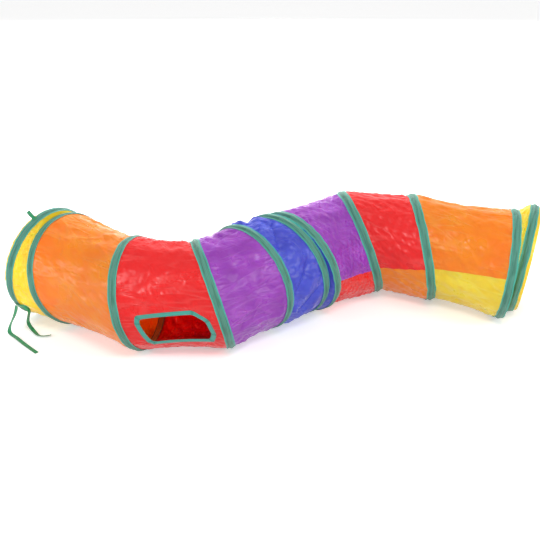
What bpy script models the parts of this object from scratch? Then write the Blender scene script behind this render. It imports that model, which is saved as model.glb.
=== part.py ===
# Pop-up fabric tunnel for cats, lying in a double bend on the floor.
# Eleven sprung wire hoops carry ten lengths of thin fabric. A tape binds each hoop to the fabric.
# World frame: metres, +Z up, +X along the tunnel from its left end to its right end, -Y towards the viewer.

import math
from collections import namedtuple

import bmesh
import bpy
from mathutils import Matrix, Vector

# Hoops, their diameter measured over the binding tapes, and the sleeve that joins each wire's two ends
TUNNEL_DIAMETER = 0.250
WIRE_DIAMETER = 0.0016
SLEEVE_LENGTH = 0.016
SLEEVE_WALL = 0.0003
SLEEVE_ANGLE = 235.0
WIRE_END_GAP = 0.001
TAPE_WIDTH = 0.018
TAPE_THICKNESS = 0.0009
TAPE_SLOPE = 0.0015
FLOOR_CUT = 0.0005

# Fabric: how far it draws in between two hoops, as a share of its length, and the slanted folds of the
# squeezed length beside the middle
FABRIC_THICKNESS = 0.0006
FABRIC_WAIST = 0.03
HEM_OVERHANG = 0.007
FOLD_DEPTH = 0.004
FOLD_COUNT = 7
FOLD_SLANT = 1.1

# Clearances
CLEAR = 0.0003
TAPE_EXIT = 0.0005
TOUCHING = 0.002

# Each hoop's heading in plan, and the lean of its top towards the left end, in degrees
HOOPS = (
    (-36.0, -3.0),
    (-36.0, 16.5),
    (-17.5, 12.5),
    (13.5, 14.5),
    (45.0, 5.0),
    (49.0, 7.5),
    (44.5, 10.5),
    (14.0, 16.5),
    (4.5, 9.5),
    (-6.5, -6.0),
    (-14.0, -8.0),
)

# Each length of fabric between two hoops: its colour above the long seam and below it, its course in plan
# in degrees, and the clear fabric on the short side of its bend. At three places the tapes touch there.
SECTIONS = (
    ("yellow", None, -26.0, TOUCHING),
    ("orange", None, -35.0, 0.129),
    ("red", None, -0.5, 0.068),
    ("purple", None, 39.0, 0.020),
    ("blue", None, 38.5, 0.065),
    ("blue", None, 26.0, TOUCHING),
    ("purple", "red", 34.5, 0.087),
    ("red", "orange", -12.5, 0.092),
    ("orange", "yellow", -23.5, 0.131),
    ("yellow", None, 34.5, TOUCHING),
)
FOLDED_SECTION = 4
WINDOW_SECTION = 2
MIDDLE_HOOP = 5

# The long seam, in degrees round each hoop from its top towards the viewer, from the seventh hoop on
SEAM_FRONT = {6: 94.0, 7: 94.0, 8: 86.0, 9: 78.0}
SEAM_BACK = 215.0

# Window in the side of the red fabric, measured along the tunnel and round it
WINDOW_LENGTH = 0.142
WINDOW_HEIGHT = 0.076
WINDOW_ALONG = 0.535
WINDOW_ROUND = 101.0
WINDOW_TURN = -8.0
WINDOW_TAPE = 0.009
WINDOW_TAPE_THICKNESS = 0.0006
WINDOW_CLEAR = 0.0007

# The window's tape is folded straight across each corner. What that cuts off, along the tunnel and round it,
# at the lower right, lower left, upper left and upper right corner
WINDOW_CORNERS = (
    (0.011, 0.021),
    (0.004, 0.008),
    (0.005, 0.011),
    (0.021, 0.020),
)

# Ribbon ties, sewn on the tape of the left end's hoop
TIE_WIDTH = 0.009
TIE_THICKNESS = 0.0006
TIE_GAP = 0.0005
TIE_ANGLE = 120.0
TIE_PATCH = 0.012
STUB_ANGLE = 15.0
STUB_REACH = 0.0195
STUB_RISE = 0.0135

# Each tie's route, from the patch that holds it to its free end on the floor: a point on its middle line and
# the way its width lies there. X and Y are measured from the left end hoop's middle, Z from the floor.
LONG_TIE = (
    ((-0.0656, -0.0843, 0.0561), (0.81, -0.59, 0.0)),
    ((-0.0670, -0.0862, 0.0475), (0.81, -0.59, 0.0)),
    ((-0.0695, -0.0895, 0.0390), (0.81, -0.59, 0.0)),
    ((-0.0730, -0.0930, 0.0310), (0.81, -0.59, 0.0)),
    ((-0.0790, -0.0990, 0.0185), (0.85, -0.50, 0.0)),
    ((-0.0815, -0.1070, 0.0100), (0.96, -0.15, 0.0)),
    ((-0.0800, -0.1140, 0.0055), (0.90, 0.40, 0.0)),
    ((-0.0730, -0.1230, 0.0045), (0.75, 0.66, 0.0)),
    ((-0.0610, -0.1340, 0.0035), (0.70, 0.71, 0.0)),
    ((-0.0440, -0.1520, 0.0020), (0.70, 0.71, 0.0)),
    ((-0.0260, -0.1710, 0.0015), (0.70, 0.71, 0.0)),
    ((-0.0080, -0.1890, 0.0010), (0.70, 0.71, 0.0)),
)
SHORT_TIE = (
    ((-0.0614, -0.0895, 0.0592), (0.26, 0.43, -0.87)),
    ((-0.0550, -0.0960, 0.0625), (0.20, 0.35, -0.90)),
    ((-0.0473, -0.0990, 0.0635), (0.00, -0.05, -1.00)),
    ((-0.0415, -0.1012, 0.0610), (-0.30, -0.50, -0.80)),
    ((-0.0370, -0.1022, 0.0580), (-0.55, -0.75, -0.25)),
    ((-0.0345, -0.1020, 0.0525), (-0.58, -0.80, 0.0)),
    ((-0.0365, -0.1005, 0.0425), (-0.60, -0.80, 0.0)),
    ((-0.0393, -0.0985, 0.0320), (-0.60, -0.80, 0.0)),
    ((-0.0404, -0.0985, 0.0225), (-0.62, -0.78, 0.0)),
    ((-0.0370, -0.0990, 0.0115), (-0.75, -0.65, 0.0)),
    ((-0.0290, -0.1050, 0.0045), (-0.82, -0.57, 0.0)),
    ((-0.0170, -0.1215, 0.0030), (-0.66, -0.75, 0.0)),
    ((-0.0060, -0.1266, 0.0030), (-0.15, -0.99, 0.0)),
    ((0.0050, -0.1240, 0.0025), (0.22, -0.97, 0.0)),
    ((0.0121, -0.1210, 0.0020), (0.35, -0.93, 0.0)),
)

# At these bends a hoop turns about the place where it is nearest to the one before it. The others slide.
HINGED_SECTIONS = (0, 3, 9)

# Facets round a hoop and a sleeve, rows of fabric between two tapes, or one row where the hoops are close,
# steps along the window's edges and between two points of a tie, and the angle from which an edge is sharp
SIDES = 24
SLEEVE_SIDES = 10
PLAIN_ROWS = 4
FINE_ROWS = 8
CLOSE_HOOPS = 0.072
LONG_STEPS = 16
SHORT_STEPS = 9
CORNER_STEPS = 5
TIE_STEPS = 2
SHARP_ANGLE = 30.0

# How far the window's cutter stands off the fabric, the floor cutter's depth and margin, and the step over
# which a slope is measured
WINDOW_CUTTER = 0.0127
FLOOR_CUTTER = 0.05
FLOOR_MARGIN = 0.25
SLOPE_STEP = 0.0005

# Colour, roughness and metallic value
FINISHES = {
    "yellow": ((0.70, 0.50, 0.06), 0.5, 0.0),
    "orange": ((0.90, 0.26, 0.02), 0.5, 0.0),
    "red": ((0.80, 0.03, 0.03), 0.5, 0.0),
    "purple": ((0.28, 0.06, 0.40), 0.5, 0.0),
    "blue": ((0.07, 0.09, 0.50), 0.5, 0.0),
    "tape": ((0.04, 0.24, 0.19), 0.6, 0.0),
    "ribbon": ((0.02, 0.30, 0.12), 0.4, 0.0),
    "steel": ((0.62, 0.62, 0.60), 0.3, 1.0),
}

Hoop = namedtuple("Hoop", "empty frame")
Joint = namedtuple("Joint", "name kind parent child place axis")

STEP = 2 * math.pi / SIDES
HALF_TAPE = TAPE_WIDTH / 2
SLEEVE_BORE = WIRE_DIAMETER / 2 + CLEAR
SLEEVE_RADIUS = SLEEVE_BORE + SLEEVE_WALL
HUMP_INSIDE = 2 * SLEEVE_RADIUS + CLEAR
HUMP_TOP = SLEEVE_RADIUS + 2 * CLEAR
HUMP_FOOT = HUMP_TOP + TAPE_SLOPE
HOOP_RADIUS = TUNNEL_DIAMETER / 2
FABRIC_RADIUS = HOOP_RADIUS - TAPE_THICKNESS - HUMP_INSIDE - CLEAR
TAPE_INSIDE = FABRIC_RADIUS + CLEAR
WIRE_RADIUS = TAPE_INSIDE + SLEEVE_RADIUS


def clear_scene():
    for thing in list(bpy.data.objects):
        bpy.data.objects.remove(thing, do_unlink=True)


def make_collection(name):
    collection = bpy.data.collections.new(name)
    bpy.context.scene.collection.children.link(collection)
    return collection


def make_material(name, colour, roughness, metallic=0.0):
    material = bpy.data.materials.new(name)
    material.use_nodes = True
    shader = material.node_tree.nodes["Principled BSDF"]
    shader.inputs["Base Color"].default_value = (*colour, 1.0)
    shader.inputs["Roughness"].default_value = roughness
    shader.inputs["Metallic"].default_value = metallic
    return material


def add_object(name, data, collection, parent, material=None):
    thing = bpy.data.objects.new(name, data)
    collection.objects.link(thing)
    thing.parent = parent
    if material:
        data.materials.append(material)
    return thing


def add_empty(name, collection, parent, frame, parent_frame):
    empty = bpy.data.objects.new(name, None)
    collection.objects.link(empty)
    empty.empty_display_size = HOOP_RADIUS / 4
    empty.parent = parent
    empty.matrix_basis = parent_frame.inverted() @ frame
    return empty


def shade_round(mesh):
    mesh.shade_smooth()
    mesh.set_sharp_from_angle(angle=math.radians(SHARP_ANGLE))


def hide_guide(thing):
    thing.hide_render = True
    thing.display_type = "WIRE"


# Where the hoops stand, and how each moves on the one before it

def hoop_normal(heading, lean):
    flat = Vector((math.cos(heading), math.sin(heading), 0))
    return flat * math.cos(lean) + Vector((0, 0, math.sin(lean)))


def standing_height(lean):
    reach = HOOP_RADIUS * math.cos(STEP / 2) * math.cos(lean)
    return reach + (HUMP_TOP + TAPE_THICKNESS / 2) * abs(math.sin(lean)) - FLOOR_CUT


def course_direction(degrees):
    return Vector((math.cos(math.radians(degrees)), math.sin(math.radians(degrees)), 0))


def section_span(first, second, rise, course, clear):
    # The distance between two hoop centres that leaves this much room between the tapes where they are nearest
    cosine = first.dot(second)
    needed = HALF_TAPE * (1 + cosine) + clear + HOOP_RADIUS * math.sqrt(max(0.0, 1 - cosine * cosine))
    return min((needed - rise * n.z) / course.dot(n) for n in (first, second))


def hoop_frames():
    frames = []
    place = Vector((0, 0, 0))
    before = None
    for number, (heading, lean) in enumerate(HOOPS):
        heading, lean = math.radians(heading), math.radians(lean)
        normal = hoop_normal(heading, lean)
        height = standing_height(lean)
        if number:
            course = course_direction(SECTIONS[number - 1][2])
            rise = height - place.z
            place = place + course * section_span(before, normal, rise, course, SECTIONS[number - 1][3])
        place.z = height
        side = Vector((math.sin(heading), -math.cos(heading), 0))
        up = side.cross(normal)
        frame = Matrix((up, side, normal)).transposed().to_4x4()
        frame.translation = place
        frames.append(frame)
        before = normal
    return frames


def section_joint(number, frames):
    # Each section joins the hoop nearer the middle one to the hoop beyond it. Positive opens the tunnel.
    outward = number >= MIDDLE_HOOP
    parent, child = (number, number + 1) if outward else (number + 1, number)
    held, moved = frames[parent], frames[child]
    if number not in HINGED_SECTIONS:
        axis = course_direction(SECTIONS[number][2]) * (1 if outward else -1)
        return Joint("section_%02d_slide" % number, "slide", parent, child, moved.translation.copy(), axis)
    ahead = held.col[2].to_3d() * (1 if outward else -1)
    beyond = moved.col[2].to_3d() * (1 if outward else -1)
    nearest = (beyond - ahead * beyond.dot(ahead)).normalized()
    place = held.translation + nearest * HOOP_RADIUS + ahead * (HALF_TAPE + SECTIONS[number][3] / 2)
    return Joint("section_%02d_hinge" % number, "hinge", parent, child, place, ahead.cross(nearest))


def facet_radius(radius, angle):
    # The hoops are many-sided, with a flat side at the bottom: this keeps a point on that outline
    off_middle = (angle + STEP / 2) % STEP - STEP / 2
    return radius * math.cos(STEP / 2) / math.cos(off_middle)


def on_hoop(frame, radius, angle, along):
    reach = facet_radius(radius, angle)
    return frame @ Vector((reach * math.cos(angle), reach * math.sin(angle), along))


# Fabric

def free_fabric(number, share, angle, frames):
    # A point of the fabric's outer face between the tapes of two hoops, at a share of the way
    out = HALF_TAPE + TAPE_EXIT
    start = on_hoop(frames[number], FABRIC_RADIUS, angle, out)
    end = on_hoop(frames[number + 1], FABRIC_RADIUS, angle, -out)
    spoke = Vector((math.cos(angle), math.sin(angle), 0))
    outward = frames[number].to_3x3() @ spoke * (1 - share) + frames[number + 1].to_3x3() @ spoke * share
    swell = math.sin(math.pi * share)
    depth = FABRIC_WAIST * (end - start).length * swell
    if number == FOLDED_SECTION:
        depth += FOLD_DEPTH * swell * (1 + math.sin(FOLD_COUNT * angle + FOLD_SLANT * 2 * math.pi * share))
    return start.lerp(end, share) - outward.normalized() * depth


def row_count(number, frames):
    if number in (FOLDED_SECTION, WINDOW_SECTION):
        return FINE_ROWS
    span = (frames[number + 1].translation - frames[number].translation).length
    return 1 if span < CLOSE_HOOPS else PLAIN_ROWS


def fabric_rows(number, angles, frames):
    rows = row_count(number, frames)
    shares = [step / rows for step in range(rows + 1)]
    grid = [[on_hoop(frames[number], FABRIC_RADIUS, a, CLEAR / 2) for a in angles(0.0)]]
    for share in shares:
        grid.append([free_fabric(number, share, a, frames) for a in angles(share)])
    grid.append([on_hoop(frames[number + 1], FABRIC_RADIUS, a, -CLEAR / 2) for a in angles(1.0)])
    return grid


def grid_mesh(name, grid, closed, to_local):
    mesh = bpy.data.meshes.new(name)
    shape = bmesh.new()
    rows = [[shape.verts.new(to_local @ point) for point in row] for row in grid]
    across = len(rows[0])
    for lower, upper in zip(rows, rows[1:]):
        for k in range(across if closed else across - 1):
            after = (k + 1) % across
            shape.faces.new((lower[k], lower[after], upper[after], upper[k]))
    shape.to_mesh(mesh)
    shape.free()
    shade_round(mesh)
    return mesh


def add_fabric(name, grid, closed, hoop, collection, material, thickness=FABRIC_THICKNESS, offset=-1):
    mesh = grid_mesh(name, grid, closed, hoop.frame.inverted())
    thing = add_object(name, mesh, collection, hoop.empty, material)
    wall = thing.modifiers.new("Wall", "SOLIDIFY")
    wall.thickness = thickness
    wall.offset = offset
    wall.use_even_offset = True
    return thing


def all_round(share):
    return [(k + 0.5) * STEP for k in range(SIDES)]


def between(edges, pieces):
    # Angles from one seam to the next, with the seam's own gap left open
    def angles(share):
        low = edges[0][0] * (1 - share) + edges[0][1] * share
        high = edges[1][0] * (1 - share) + edges[1][1] * share
        low += CLEAR / 2 / FABRIC_RADIUS
        high -= CLEAR / 2 / FABRIC_RADIUS
        return [low + (high - low) * k / pieces for k in range(pieces + 1)]
    return angles


def add_panels(number, frames, hoop, parts, paints):
    upper, lower = SECTIONS[number][:2]
    label = "panel_%02d" % number
    if not lower:
        grid = fabric_rows(number, all_round, frames)
        return [add_fabric(label + "_" + upper, grid, True, hoop, parts, paints[upper])]
    front = [math.radians(SEAM_FRONT[number + side]) for side in (0, 1)]
    back = [math.radians(SEAM_BACK)] * 2
    front_again = [angle + 2 * math.pi for angle in front]
    under = max(4, round((back[0] - front[0]) / STEP))
    strips = (
        (upper, (back, front_again), SIDES - under),
        (lower, (front, back), under),
    )
    made = []
    for colour, edges, pieces in strips:
        grid = fabric_rows(number, between(edges, pieces), frames)
        made.append(add_fabric(label + "_" + colour, grid, False, hoop, parts, paints[colour]))
    return made


def add_hem(name, direction, hoop, parts, material):
    reach = HALF_TAPE + HEM_OVERHANG
    steps = (CLEAR / 2, HALF_TAPE + TAPE_EXIT, reach)
    if direction < 0:
        steps = tuple(reversed(steps))
    grid = [[on_hoop(hoop.frame, FABRIC_RADIUS, a, direction * along) for a in all_round(0)] for along in steps]
    return add_fabric(name, grid, True, hoop, parts, material)


# Hoops

def sleeve_angle():
    # The middle of the flat side nearest to the sleeve's own angle, low at the back
    return round(math.radians(SLEEVE_ANGLE) / STEP) * STEP


def add_wire(number, hoop, parts, material):
    name = "wire_%02d" % number
    curve = bpy.data.curves.new(name, "CURVE")
    curve.dimensions = "3D"
    curve.bevel_depth = WIRE_DIAMETER / 2
    curve.bevel_resolution = 1
    curve.use_fill_caps = True
    # The two ends meet half way along a flat side, inside the sleeve
    apothem = WIRE_RADIUS * math.cos(STEP / 2)
    end = math.atan2(WIRE_END_GAP / 2, apothem)
    end_radius = math.hypot(WIRE_END_GAP / 2, apothem)
    places = [(end_radius, end)]
    places += [(WIRE_RADIUS, (k + 0.5) * STEP) for k in range(SIDES)]
    places.append((end_radius, -end))
    spline = curve.splines.new("POLY")
    spline.points.add(len(places) - 1)
    for point, (radius, angle) in zip(spline.points, places):
        angle += sleeve_angle()
        point.co = (radius * math.cos(angle), radius * math.sin(angle), 0, 1)
    return add_object(name, curve, parts, hoop.empty, material)


def add_sleeve(number, hoop, parts, material):
    mesh = bpy.data.meshes.new("wire_sleeve_%02d" % number)
    shape = bmesh.new()
    half = SLEEVE_LENGTH / 2
    corners = (
        (SLEEVE_RADIUS, half),
        (SLEEVE_RADIUS, -half),
        (SLEEVE_BORE, -half),
        (SLEEVE_BORE, half),
    )
    loop = [shape.verts.new((radius, 0, along)) for radius, along in corners]
    for a, b in zip(loop, loop[1:] + loop[:1]):
        shape.edges.new((a, b))
    shape.to_mesh(mesh)
    shape.free()
    thing = add_object("wire_sleeve_%02d" % number, mesh, parts, hoop.empty, material)
    turned = thing.modifiers.new("Turned", "SCREW")
    turned.axis = "Z"
    turned.steps = SLEEVE_SIDES
    turned.render_steps = SLEEVE_SIDES
    turned.use_merge_vertices = True
    turned.merge_threshold = 0.00001
    angle = sleeve_angle()
    apothem = WIRE_RADIUS * math.cos(STEP / 2)
    place = Matrix.Rotation(angle, 4, "Z") @ Matrix.Translation((apothem, 0, 0))
    thing.matrix_basis = place @ Matrix.Rotation(math.pi / 2, 4, "X")
    return thing


def tape_profile():
    # Flat on the fabric at both sides, and raised over the wire in the middle
    outside = TAPE_INSIDE + TAPE_THICKNESS
    top = TAPE_INSIDE + HUMP_INSIDE
    slope = TAPE_THICKNESS / 2
    outer = [
        (outside, HALF_TAPE),
        (outside, HUMP_FOOT + slope),
        (top + TAPE_THICKNESS, HUMP_TOP + slope),
    ]
    outer += [(radius, -along) for radius, along in reversed(outer)]
    inner = [
        (TAPE_INSIDE, -HALF_TAPE),
        (TAPE_INSIDE, -HUMP_FOOT),
        (top, -HUMP_TOP),
    ]
    inner += [(radius, -along) for radius, along in reversed(inner)]
    return outer + inner


def add_tape(number, hoop, parts, material, floor):
    name = "tape_%02d" % number
    mesh = bpy.data.meshes.new(name)
    shape = bmesh.new()
    half = STEP / 2
    loop = [shape.verts.new((r * math.cos(half), r * math.sin(half), along)) for r, along in tape_profile()]
    for a, b in zip(loop, loop[1:] + loop[:1]):
        shape.edges.new((a, b))
    shape.to_mesh(mesh)
    shape.free()
    thing = add_object(name, mesh, parts, hoop.empty, material)
    turned = thing.modifiers.new("Turned", "SCREW")
    turned.axis = "Z"
    turned.steps = SIDES
    turned.render_steps = SIDES
    turned.use_merge_vertices = True
    turned.merge_threshold = 0.00001
    flat = thing.modifiers.new("Flat underneath", "BOOLEAN")
    flat.operation = "DIFFERENCE"
    flat.solver = "EXACT"
    flat.object = floor
    return thing


# Window

def window_outline(outward):
    # The window's edge, moved outward by a distance: along the tunnel and round it, from the lower right corner
    half_length = WINDOW_LENGTH / 2 + outward
    half_height = WINDOW_HEIGHT / 2 + outward
    corners = []
    for (along, around), (right, down) in zip(WINDOW_CORNERS, ((1, 1), (-1, 1), (-1, -1), (1, -1))):
        # Moving all the edges by the same distance lengthens or shortens the corner's cut like this
        growth = outward * (along + around - math.hypot(along, around))
        upright = Vector((right * half_length, down * (half_height - around - growth / along)))
        level = Vector((right * (half_length - along - growth / around), down * half_height))
        corners += [upright, level] if right == down else [level, upright]
    steps = (CORNER_STEPS, LONG_STEPS, CORNER_STEPS, SHORT_STEPS) * 2
    points = []
    for first, second, count in zip(corners, corners[1:] + corners[:1], steps):
        points += [first.lerp(second, k / count) for k in range(count)]
    return points


def window_surface(point, frames):
    # From metres along the tunnel and round it to the middle of the fabric's wall, and its outward normal
    number = WINDOW_SECTION
    middle = math.radians(WINDOW_ROUND)
    turn = math.radians(WINDOW_TURN)
    span = (free_fabric(number, 1.0, middle, frames) - free_fabric(number, 0.0, middle, frames)).length

    def outer_face(along, around):
        share = WINDOW_ALONG + (along * math.cos(turn) - around * math.sin(turn)) / span
        angle = middle + (along * math.sin(turn) + around * math.cos(turn)) / FABRIC_RADIUS
        return faceted_fabric(number, share, angle, frames)

    along = outer_face(point.x + SLOPE_STEP, point.y) - outer_face(point.x - SLOPE_STEP, point.y)
    around = outer_face(point.x, point.y + SLOPE_STEP) - outer_face(point.x, point.y - SLOPE_STEP)
    normal = around.cross(along).normalized()
    return outer_face(*point) - normal * FABRIC_THICKNESS / 2, normal


def faceted_fabric(number, share, angle, frames):
    # The fabric is flat between its rows and between its corners round the hoop
    rows = row_count(number, frames)
    row = min(int(rows * share), rows - 1)
    corner = angle / STEP - 0.5
    low = math.floor(corner)
    part_row, part_corner = rows * share - row, corner - low
    sides = []
    for k in (low, low + 1):
        a = (k + 0.5) * STEP
        first = free_fabric(number, row / rows, a, frames)
        second = free_fabric(number, (row + 1) / rows, a, frames)
        sides.append(first.lerp(second, part_row))
    return sides[0].lerp(sides[1], part_corner)


def window_rings(offsets, frames):
    rings = []
    for outward, lift in offsets:
        ring = []
        for point in window_outline(outward):
            middle, normal = window_surface(point, frames)
            ring.append(middle + normal * lift)
        rings.append(ring)
    return rings


def loft_mesh(name, rings, joined, to_local):
    # The last ring is joined to the first one, or else both are capped
    mesh = bpy.data.meshes.new(name)
    shape = bmesh.new()
    loops = [[shape.verts.new(to_local @ point) for point in ring] for ring in rings]
    pairs = list(zip(loops, loops[1:]))
    if joined:
        pairs.append((loops[-1], loops[0]))
    for first, second in pairs:
        for k in range(len(first)):
            after = (k + 1) % len(first)
            shape.faces.new((first[k], first[after], second[after], second[k]))
    if not joined:
        shape.faces.new(reversed(loops[0]))
        shape.faces.new(loops[-1])
    bmesh.ops.recalc_face_normals(shape, faces=shape.faces)
    shape.to_mesh(mesh)
    shape.free()
    shade_round(mesh)
    return mesh


def cut_window(panel, frames, hoop, cutters):
    # Its ends clear the bulge of the fabric, and its wall stays true close to the fabric
    near = FABRIC_THICKNESS
    rings = window_rings(((0, -WINDOW_CUTTER), (0, -near), (0, near), (0, WINDOW_CUTTER)), frames)
    mesh = loft_mesh("window_cutter", rings, False, hoop.frame.inverted())
    cutter = add_object("window_cutter", mesh, cutters, hoop.empty)
    hide_guide(cutter)
    hole = panel.modifiers.new("Window", "BOOLEAN")
    hole.operation = "DIFFERENCE"
    hole.solver = "EXACT"
    hole.object = cutter


def add_window_tape(frames, hoop, parts, material):
    inside = FABRIC_THICKNESS / 2 + WINDOW_CLEAR
    outside = inside + WINDOW_TAPE_THICKNESS
    edge = -CLEAR - WINDOW_TAPE_THICKNESS
    profile = (
        (edge, outside),
        (WINDOW_TAPE, outside),
        (WINDOW_TAPE, inside),
        (-CLEAR, inside),
        (-CLEAR, -inside),
        (WINDOW_TAPE, -inside),
        (WINDOW_TAPE, -outside),
        (edge, -outside),
    )
    mesh = loft_mesh("window_binding", window_rings(profile, frames), True, hoop.frame.inverted())
    return add_object("window_binding", mesh, parts, hoop.empty, material)


# Ribbon ties

def over_the_tape(half_width, lift):
    # Places across the tape, as distances along the tunnel and radii, following the raised middle
    outside = TAPE_INSIDE + TAPE_THICKNESS + lift
    top = HOOP_RADIUS + lift
    slope = TAPE_THICKNESS / 2 + lift
    side = [(half_width, outside), (HUMP_FOOT + slope, outside), (HUMP_TOP + slope, top)]
    return side + [(-along, radius) for along, radius in reversed(side)]


def add_hoop_strip(name, degrees, path, hoop, parts, material):
    half = math.asin(TIE_WIDTH / 2 / HOOP_RADIUS)
    edges = (math.radians(degrees) + half, math.radians(degrees) - half)
    grid = [[on_hoop(hoop.frame, radius, angle, along) for angle in edges] for along, radius in path]
    return add_fabric(name, grid, False, hoop, parts, material, TIE_THICKNESS, 0)


def add_tie_patch(hoop, parts, material):
    path = over_the_tape(TIE_PATCH / 2, TIE_GAP + TIE_THICKNESS / 2)
    return add_hoop_strip("tie_patch", TIE_ANGLE, path, hoop, parts, material)


def add_tie_stub(hoop, parts, material):
    # The short end of a ribbon that has come off, standing up from the top of the tape
    low = HOOP_RADIUS + TIE_GAP + TIE_THICKNESS / 2
    path = [(HUMP_TOP, low), (-HUMP_TOP, low)]
    for share in (1 / 3, 2 / 3, 1):
        path.append((-HUMP_TOP - (STUB_REACH - HUMP_TOP) * share, low + STUB_RISE * share * share))
    return add_hoop_strip("tie_stub", STUB_ANGLE, path, hoop, parts, material)


def smooth_route(route):
    # A smooth curve through the route's points, with the width turning smoothly too
    rows = [(Vector(place), Vector(width).normalized()) for place, width in route]
    rows = [rows[0]] + rows + [rows[-1]]
    made = []
    for a, b, c, d in zip(rows, rows[1:], rows[2:], rows[3:]):
        for step in range(TIE_STEPS):
            t = step / TIE_STEPS
            row = []
            for k in (0, 1):
                bend = 2 * a[k] - 5 * b[k] + 4 * c[k] - d[k]
                turn = 3 * b[k] - a[k] - 3 * c[k] + d[k]
                row.append(b[k] + (c[k] - a[k]) * t / 2 + bend * t * t / 2 + turn * t ** 3 / 2)
            made.append(row)
    made.append(rows[-1])
    return made


def add_tie(name, route, hoop, parts, material):
    rows = smooth_route(route)
    grid = []
    for k, (place, width) in enumerate(rows):
        along = (rows[min(k + 1, len(rows) - 1)][0] - rows[max(k - 1, 0)][0]).normalized()
        across = (width - along * width.dot(along)).normalized() * TIE_WIDTH / 2
        grid.append([place - across, place + across])
    length = sum((b[0] - a[0]).length for a, b in zip(rows, rows[1:]))
    print(name, "is", round(length, 3), "m long")
    return add_fabric(name, grid, False, hoop, parts, material, TIE_THICKNESS, 0)


def add_floor_cutter(frames, cutters, root):
    mesh = bpy.data.meshes.new("floor_cutter")
    shape = bmesh.new()
    bmesh.ops.create_cube(shape, size=1)
    low = Vector([min(f.translation[i] for f in frames) for i in range(3)])
    high = Vector([max(f.translation[i] for f in frames) for i in range(3)])
    size = high - low + Vector((1, 1, 0)) * 2 * FLOOR_MARGIN
    size.z = FLOOR_CUTTER
    bmesh.ops.scale(shape, vec=size, verts=shape.verts)
    middle = (low + high) / 2
    bmesh.ops.translate(shape, vec=(middle.x, middle.y, -size.z / 2), verts=shape.verts)
    shape.to_mesh(mesh)
    shape.free()
    cutter = add_object("floor_cutter", mesh, cutters, root)
    hide_guide(cutter)
    return cutter


def panel_carrier(number):
    # Each length of fabric belongs to whichever of its two hoops is nearer the middle hoop
    return number if number >= MIDDLE_HOOP else number + 1


def stand_on_origin(root, things):
    # The middle of the tunnel's own bounds goes over the world's origin
    bpy.context.view_layer.update()
    graph = bpy.context.evaluated_depsgraph_get()
    points = []
    for thing in things:
        seen = thing.evaluated_get(graph)
        mesh = seen.to_mesh()
        points += [seen.matrix_world @ v.co for v in mesh.vertices]
        seen.to_mesh_clear()
    middle = [(min(p[i] for p in points) + max(p[i] for p in points)) / 2 for i in (0, 1)]
    root.location = (-middle[0], -middle[1], 0)
    bpy.context.view_layer.update()


def add_hoop_empties(frames, parts, root):
    # From the middle hoop outwards, each hoop hangs on its joint's empty, whose Z is the joint's axis
    middle = add_empty("hoop_%02d" % MIDDLE_HOOP, parts, root, frames[MIDDLE_HOOP], Matrix())
    hoops = {MIDDLE_HOOP: Hoop(middle, frames[MIDDLE_HOOP])}
    outwards = list(range(MIDDLE_HOOP, len(SECTIONS))) + list(reversed(range(MIDDLE_HOOP)))
    for number in outwards:
        joint = section_joint(number, frames)
        holder = hoops[joint.parent]
        frame = joint.axis.to_track_quat("Z", "Y").to_matrix().to_4x4()
        frame.translation = joint.place
        pivot = add_empty(joint.name, parts, holder.empty, frame, holder.frame)
        empty = add_empty("hoop_%02d" % joint.child, parts, pivot, frames[joint.child], frame)
        hoops[joint.child] = Hoop(empty, frames[joint.child])
    return hoops


def main():
    clear_scene()
    parts = make_collection("cat_tunnel")
    cutters = make_collection("cutters")
    paints = {}
    for name, (colour, roughness, metallic) in FINISHES.items():
        paints[name] = make_material(name, colour, roughness, metallic)
    frames = hoop_frames()
    root = add_empty("tunnel_frame", parts, None, Matrix(), Matrix())
    floor = add_floor_cutter(frames, cutters, root)
    hoops = add_hoop_empties(frames, parts, root)
    made = []
    for number, hoop in hoops.items():
        made.append(add_wire(number, hoop, parts, paints["steel"]))
        made.append(add_sleeve(number, hoop, parts, paints["steel"]))
        made.append(add_tape(number, hoop, parts, paints["tape"], floor))
    for number in range(len(SECTIONS)):
        hoop = hoops[panel_carrier(number)]
        panels = add_panels(number, frames, hoop, parts, paints)
        if number == WINDOW_SECTION:
            cut_window(panels[0], frames, hoop, cutters)
            made.append(add_window_tape(frames, hoop, parts, paints["tape"]))
        made += panels
    made.append(add_hem("hem_left", -1, hoops[0], parts, paints["yellow"]))
    made.append(add_hem("hem_right", 1, hoops[len(SECTIONS)], parts, paints["yellow"]))
    made.append(add_tie_patch(hoops[0], parts, paints["ribbon"]))
    made.append(add_tie_stub(hoops[0], parts, paints["ribbon"]))
    add_tie("tie_long", LONG_TIE, hoops[0], parts, paints["ribbon"])
    add_tie("tie_short", SHORT_TIE, hoops[0], parts, paints["ribbon"])
    stand_on_origin(root, made)


main()
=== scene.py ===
import math
import bmesh
import bpy
import numpy as np
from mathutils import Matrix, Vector


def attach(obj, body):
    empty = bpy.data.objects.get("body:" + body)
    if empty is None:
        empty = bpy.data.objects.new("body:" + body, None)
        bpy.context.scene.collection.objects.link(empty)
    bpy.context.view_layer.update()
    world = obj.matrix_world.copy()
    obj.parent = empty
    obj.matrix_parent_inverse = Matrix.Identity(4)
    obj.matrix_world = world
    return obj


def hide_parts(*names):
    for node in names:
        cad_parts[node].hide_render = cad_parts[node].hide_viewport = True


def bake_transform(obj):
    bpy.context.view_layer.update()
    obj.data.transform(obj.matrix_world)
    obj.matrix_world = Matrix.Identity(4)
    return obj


# Looks of a pop-up fabric tunnel for cats, lying in a double bend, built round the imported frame.
# Metres, Z up, the viewer stands towards -Y. Angles go round a hoop from its top towards the viewer.

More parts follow.
